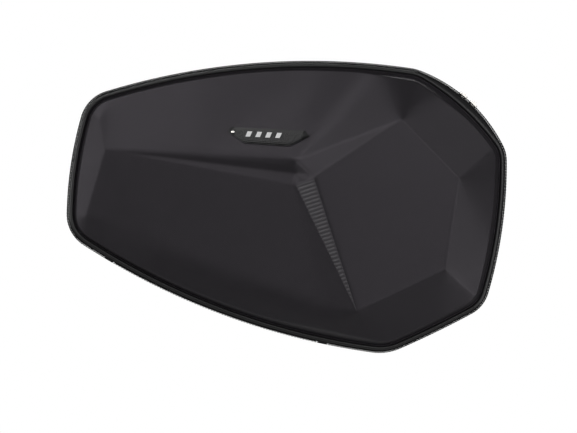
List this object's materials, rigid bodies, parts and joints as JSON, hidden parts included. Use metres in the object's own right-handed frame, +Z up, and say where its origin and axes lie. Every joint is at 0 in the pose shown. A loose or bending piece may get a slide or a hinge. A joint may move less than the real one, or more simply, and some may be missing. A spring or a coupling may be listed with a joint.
{
  "type": "motorcycle saddlebag",
  "caption": "Semi-rigid motorcycle saddlebag with a moulded faceted lid, a zip round its edge, soft side walls and a quick-release plate for a side rack",
  "frame": {"origin": "centre of the mount plate's flat back face, against the rack", "axes": "+X to the front of the motorcycle, +Y into the motorcycle out of the mount plate, +Z up; the moulded lid faces -Y"},
  "size_m": [0.542, 0.248, 0.3595],
  "materials": {
    "shell_fabric": "moulded foam laminated with black woven fabric, matt with a faint sheen",
    "gusset_fabric": "coarse black nylon over foam",
    "lining": "grey polyester lining",
    "webbing": "black woven tape",
    "piping": "black vinyl piping",
    "badge_plastic": "black plastic, fine texture",
    "badge_print": "white print",
    "zip_plastic": "black nylon coil",
    "nickel": "nickel plated",
    "rubber": "black rubber",
    "board": "polypropylene board",
    "mount_plastic": "glass filled nylon",
    "aluminium": "plain sheet",
    "zinc_steel": "zinc plated"
  },
  "bodies": {
    "bag": {"zip_tape_rear": "webbing", "zip_coil_rear": "zip_plastic", "hinge_strip_body": "webbing", "zip_end_tabs": "webbing", "body_gusset": "gusset_fabric", "gusset_lining": "lining", "rear_seam_binding": "webbing", "rear_piping": "piping", "back_panel": "gusset_fabric", "back_stiffener": "board", "mount_plate": "mount_plastic", "mount_backer": "aluminium", "mount_screws": "zinc_steel", "mount_washers": "zinc_steel", "mount_nuts": "zinc_steel", "rack_hook_rear": "mount_plastic", "rack_hook_front": "mount_plastic", "hook_screws": "zinc_steel", "latch_ears": "mount_plastic", "latch_screws": "zinc_steel", "latch_pin": "zinc_steel", "latch_spring": "zinc_steel", "handle_webbing": "webbing", "handle_grip": "rubber", "handle_anchors": "mount_plastic", "handle_rivets": "zinc_steel"},
    "lid": {"outer_shell": "shell_fabric", "shell_lining": "lining", "badge_plate": "badge_plastic", "badge_face": "badge_plastic", "badge_bars": "badge_print", "badge_stud": "nickel", "shell_piping": "piping", "rim_seam_binding": "webbing", "lid_gusset": "gusset_fabric", "zip_tape_front": "webbing", "zip_coil_front": "zip_plastic", "hinge_strip_lid": "webbing"},
    "slider_a": {"zip_slider_a": "nickel"},
    "slider_b": {"zip_slider_b": "nickel"},
    "pull_a": {"zip_pull_ring_a": "nickel", "zip_pull_tab_a": "rubber"},
    "pull_b": {"zip_pull_ring_b": "nickel", "zip_pull_tab_b": "rubber"},
    "latch": {"latch_claw": "mount_plastic"}
  },
  "joints": [
    {"name": "lid_hinge", "type": "hinge", "parent": "bag", "child": "lid", "pos_m": [-0.10956, -0.12, -0.14372], "axis": [0.9259, 0, -0.3778], "range_deg": [0, 90]},
    {"name": "zip_slide_a", "type": "slide", "parent": "bag", "child": "slider_a", "axis": [-0.7701, 0, 0.6379], "range_m": [0, 0.008]},
    {"name": "zip_slide_b", "type": "slide", "parent": "bag", "child": "slider_b", "axis": [0.7137, 0, -0.7004], "range_m": [0, 0.008]},
    {"name": "pull_hinge_a", "type": "hinge", "parent": "slider_a", "child": "pull_a", "pos_m": [0.21599, -0.12, 0.11816], "axis": [0.7701, 0, -0.6379], "range_deg": [0, 170]},
    {"name": "pull_hinge_b", "type": "hinge", "parent": "slider_b", "child": "pull_b", "pos_m": [0.22806, -0.12, 0.10727], "axis": [0.7137, 0, -0.7004], "range_deg": [0, 170]},
    {"name": "latch_hinge", "type": "hinge", "parent": "bag", "child": "latch", "pos_m": [0, 0.007, -0.06], "axis": [-1, 0, 0], "range_deg": [0, 45], "stiffness_Nm_per_rad": 0.08, "springref_deg": -9.74}
  ]
}
